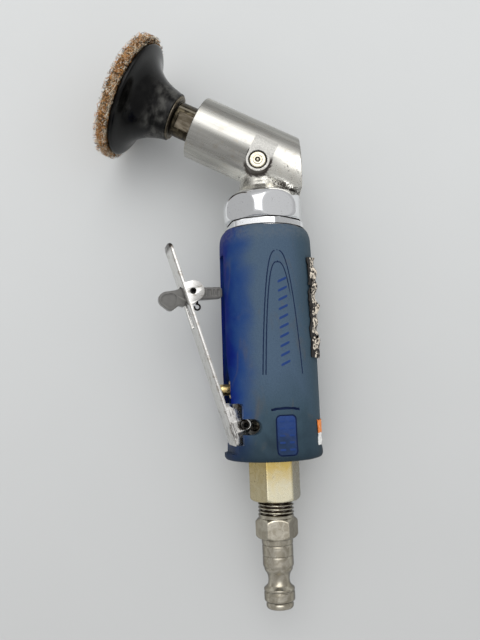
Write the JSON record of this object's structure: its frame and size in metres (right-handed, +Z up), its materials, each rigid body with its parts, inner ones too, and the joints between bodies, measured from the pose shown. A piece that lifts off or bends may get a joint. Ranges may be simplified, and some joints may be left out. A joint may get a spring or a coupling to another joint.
{
  "type": "angle die grinder",
  "caption": "Pneumatic angle die grinder with a lever throttle, a latch, a rubber grip, an obtuse angle head and a quick-change surface conditioning disc.",
  "frame": {"origin": "centre of the bottom of the bounding box; the tool lies on its side, on the rim of its disc", "axes": "+Y along the handle from the air plug towards the head, +Z up, +X away from the disc and the lever"},
  "size_m": [0.0867, 0.2304, 0.0508],
  "materials": {
    "aluminium": "satin, brushed and grimy in the corners",
    "nickel": "worn nickel plate, yellowish",
    "bearing_steel": "ground",
    "dark_steel": "blackened, rubbed bright on the edges",
    "chrome": "polished, lightly scratched",
    "brass": "satin",
    "bronze": "sintered, oily",
    "blue_rubber": "matte, dulled by grime at the rear",
    "black_rubber": "satin, scuffed",
    "fibre_disc": "open non-woven abrasive fibre, frayed",
    "black_plastic": "moulded",
    "vane_fibre": "laminated phenolic",
    "felt": "oily felt",
    "worn_label": "peeled paper, no print left",
    "orange_label": "worn, no print"
  },
  "bodies": {
    "housing": {"angle_head": "aluminium", "grease_nipple": "nickel", "grease_check_ball": "bearing_steel", "front_bearing_cap": "dark_steel", "spindle_seal": "felt", "spindle_bearing_outer": "bearing_steel", "spindle_rear_bushing": "bronze", "pinion_bearing_outer": "bearing_steel", "pinion_bearing_clip": "dark_steel", "clamp_nut": "chrome", "neck_snap_ring": "bearing_steel", "motor_housing": "aluminium", "front_end_plate": "bearing_steel", "rotor_front_bearing_outer": "bearing_steel", "cylinder_liner": "bearing_steel", "cylinder_dowel": "bearing_steel", "rear_end_plate": "bearing_steel", "rotor_rear_bearing_outer": "bearing_steel", "handle_body": "aluminium", "grip_sleeve": "blue_rubber", "exhaust_muffler": "felt", "exhaust_diffuser": "black_plastic", "inlet_bushing": "brass", "inlet_screen": "bearing_steel", "air_plug": "nickel", "lever_pin": "dark_steel", "valve_bushing": "brass", "valve_stem_seal": "black_rubber", "valve_spring": "bearing_steel", "valve_plug": "brass", "side_label": "worn_label", "rear_label": "orange_label"},
    "rotor": {"rotor": "bearing_steel", "vane_1": "vane_fibre", "vane_2": "vane_fibre", "vane_3": "vane_fibre", "vane_4": "vane_fibre", "bevel_pinion": "dark_steel", "pinion_bearing_inner": "bearing_steel", "rotor_front_bearing_inner": "bearing_steel", "rotor_rear_bearing_inner": "bearing_steel"},
    "spindle": {"spindle": "bearing_steel", "bevel_gear": "dark_steel", "collet": "bearing_steel", "collet_nut": "dark_steel", "pad_mandrel": "dark_steel", "backing_pad": "black_rubber", "abrasive_disc": "fibre_disc", "disc_button": "black_plastic", "spindle_bearing_inner": "bearing_steel"},
    "spindle_cage": {"spindle_bearing_cage": "brass"},
    "pinion_cage": {"pinion_bearing_cage": "brass"},
    "front_cage": {"rotor_front_bearing_cage": "brass"},
    "rear_cage": {"rotor_rear_bearing_cage": "brass"},
    "lever": {"throttle_lever": "chrome", "latch_pin": "dark_steel", "latch_spring": "bearing_steel"},
    "latch": {"safety_latch": "black_plastic"},
    "valve": {"valve_stem": "brass"},
    "regulator": {"regulator_screw": "brass"}
  },
  "joints": [
    {"name": "rotor_spin", "type": "hinge", "parent": "housing", "child": "rotor", "pos_m": [0.02407, 0.06369, 0.0254], "axis": [0, 1, 0], "continuous": true},
    {"name": "spindle_spin", "type": "hinge", "parent": "housing", "child": "spindle", "pos_m": [0.02407, 0.06369, 0.0254], "axis": [-0.887, 0.4617, 0], "continuous": true},
    {"name": "spindle_cage_spin", "type": "hinge", "parent": "housing", "child": "spindle_cage", "pos_m": [0.02407, 0.06369, 0.0254], "axis": [-0.887, 0.4617, 0], "continuous": true},
    {"name": "pinion_cage_spin", "type": "hinge", "parent": "housing", "child": "pinion_cage", "pos_m": [0.02407, 0.06369, 0.0254], "axis": [0, 1, 0], "continuous": true},
    {"name": "front_cage_spin", "type": "hinge", "parent": "housing", "child": "front_cage", "pos_m": [0.02407, 0.06369, 0.0254], "axis": [0, 1, 0], "continuous": true},
    {"name": "rear_cage_spin", "type": "hinge", "parent": "housing", "child": "rear_cage", "pos_m": [0.02407, 0.06369, 0.0254], "axis": [0, 1, 0], "continuous": true},
    {"name": "lever_press", "type": "hinge", "parent": "housing", "child": "lever", "pos_m": [0.01155, -0.04491, 0.02852], "axis": [-0.2419, 0, -0.9703], "range_deg": [0, 9], "stiffness_Nm_per_rad": 0.3, "springref_deg": -114.59},
    {"name": "valve_push", "type": "slide", "parent": "housing", "child": "valve", "axis": [0.9703, 0, -0.2419], "range_m": [0, 0.0026], "deforming": ["valve_spring"]},
    {"name": "latch_flip", "type": "hinge", "parent": "lever", "child": "latch", "pos_m": [-0.00605, 0.00685, 0.03291], "axis": [0.2419, 0, 0.9703], "range_deg": [0, 80.5], "deforming": ["latch_spring"]},
    {"name": "regulator_turn", "type": "hinge", "parent": "housing", "child": "regulator", "pos_m": [0.01562, -0.04561, 0.0275], "axis": [0.2419, 0, 0.9703], "range_deg": [0, 180]}
  ],
  "couplings": [
    {"joint": "spindle_spin", "follows": "rotor_spin", "ratio": -0.92308},
    {"joint": "spindle_cage_spin", "follows": "rotor_spin", "ratio": -0.37846},
    {"joint": "pinion_cage_spin", "follows": "rotor_spin", "ratio": 0.43},
    {"joint": "front_cage_spin", "follows": "rotor_spin", "ratio": 0.405},
    {"joint": "rear_cage_spin", "follows": "rotor_spin", "ratio": 0.43},
    {"joint": "valve_push", "follows": "lever_press", "m_per_rad": 0.0161},
    {"joint": "latch_flip", "follows": "lever_press", "ratio": 8.9}
  ]
}
